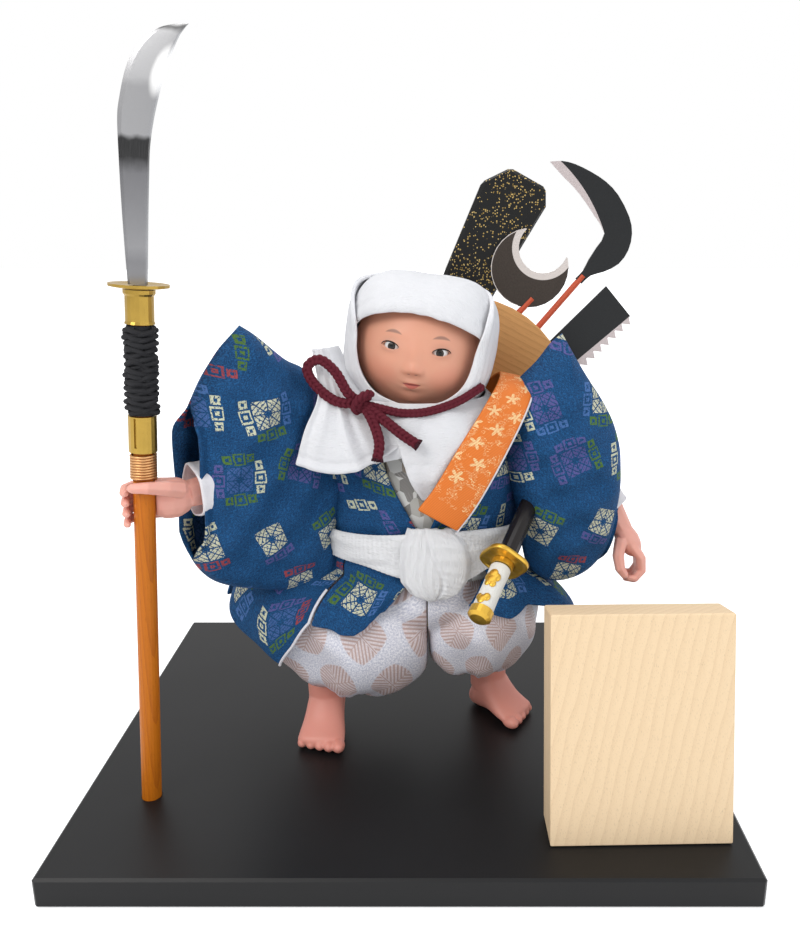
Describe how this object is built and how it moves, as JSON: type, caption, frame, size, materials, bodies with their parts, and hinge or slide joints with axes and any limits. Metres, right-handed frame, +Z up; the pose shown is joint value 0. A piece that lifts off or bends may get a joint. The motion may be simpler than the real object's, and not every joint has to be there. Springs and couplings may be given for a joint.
{
  "type": "samurai doll",
  "caption": "Hooded warrior monk doll in blue brocade with a pole weapon, a sword and tools on the back, on a black lacquered board with a plain wooden plate.",
  "frame": {"origin": "centre of the underside of the lacquered board", "axes": "+Z up, -Y the way the doll faces, +X towards the doll's left hand"},
  "size_m": [0.32, 0.26, 0.3643],
  "materials": {
    "lacquer": "black lacquered wood, satin",
    "plate_wood": "pale bare wood, fine straight grain",
    "pole_wood": "orange-brown varnished wood",
    "board_wood": "tan wood, straight grain",
    "steel": "polished blade steel",
    "pin_steel": "plain steel wire",
    "gilt": "gilt brass",
    "copper": "copper wire",
    "black_cord": "black cord",
    "skin": "painted moulded skin",
    "eye": "dark glass eye",
    "straw": "bound straw",
    "white_crepe": "white crepe",
    "white_satin": "white satin with woven crests",
    "grey_brocade": "grey patterned cloth",
    "blue_brocade": "deep blue brocade with square crests",
    "orange_brocade": "orange brocade with gold",
    "burgundy_cord": "burgundy plaited cord",
    "handle_wrap": "white grained handle",
    "black_iron": "black painted metal",
    "brown_iron": "dark brown metal with a bright edge",
    "vermilion": "vermilion painted shaft"
  },
  "bodies": {
    "root": {"back_board": "board_wood", "base_board": "lacquer", "chin_cord": "burgundy_cord", "club": "black_iron", "cord_wrap": "black_cord", "crescent_blade": "brown_iron", "crescent_shaft": "vermilion", "eye_left": "eye", "eye_right": "eye", "foot_left": "skin", "foot_pin_left": "pin_steel", "foot_pin_right": "pin_steel", "foot_right": "skin", "hakama_left": "white_satin", "hakama_right": "white_satin", "hand_left": "skin", "hand_right": "skin", "head": "skin", "hood_cap": "white_crepe", "hood_wrap": "white_crepe", "inner_collar": "grey_brocade", "jacket_body": "blue_brocade", "jacket_skirt_back": "blue_brocade", "jacket_skirt_left": "blue_brocade", "jacket_skirt_mid": "blue_brocade", "jacket_skirt_right": "blue_brocade", "kimono_body": "grey_brocade", "lower_ferrule": "gilt", "name_plate": "plate_wood", "neck_scarf": "white_crepe", "pole": "pole_wood", "pole_blade": "steel", "pole_guard": "gilt", "sash": "white_crepe", "sash_knot": "white_crepe", "saw_blade": "black_iron", "scarf_front": "white_crepe", "shoulder_band": "orange_brocade", "shoulder_drape": "white_crepe", "sickle_blade": "black_iron", "sickle_shaft": "vermilion", "sleeve_left": "blue_brocade", "sleeve_right": "blue_brocade", "sword_collar": "gilt", "sword_guard": "gilt", "sword_handle": "handle_wrap", "sword_ornament": "gilt", "sword_pommel": "gilt", "sword_scabbard": "lacquer", "tool_rail": "board_wood", "torso_core": "straw", "under_sleeve_left": "white_satin", "under_sleeve_right": "white_satin", "upper_collar": "gilt", "wire_binding": "copper"}
  },
  "joints": []
}
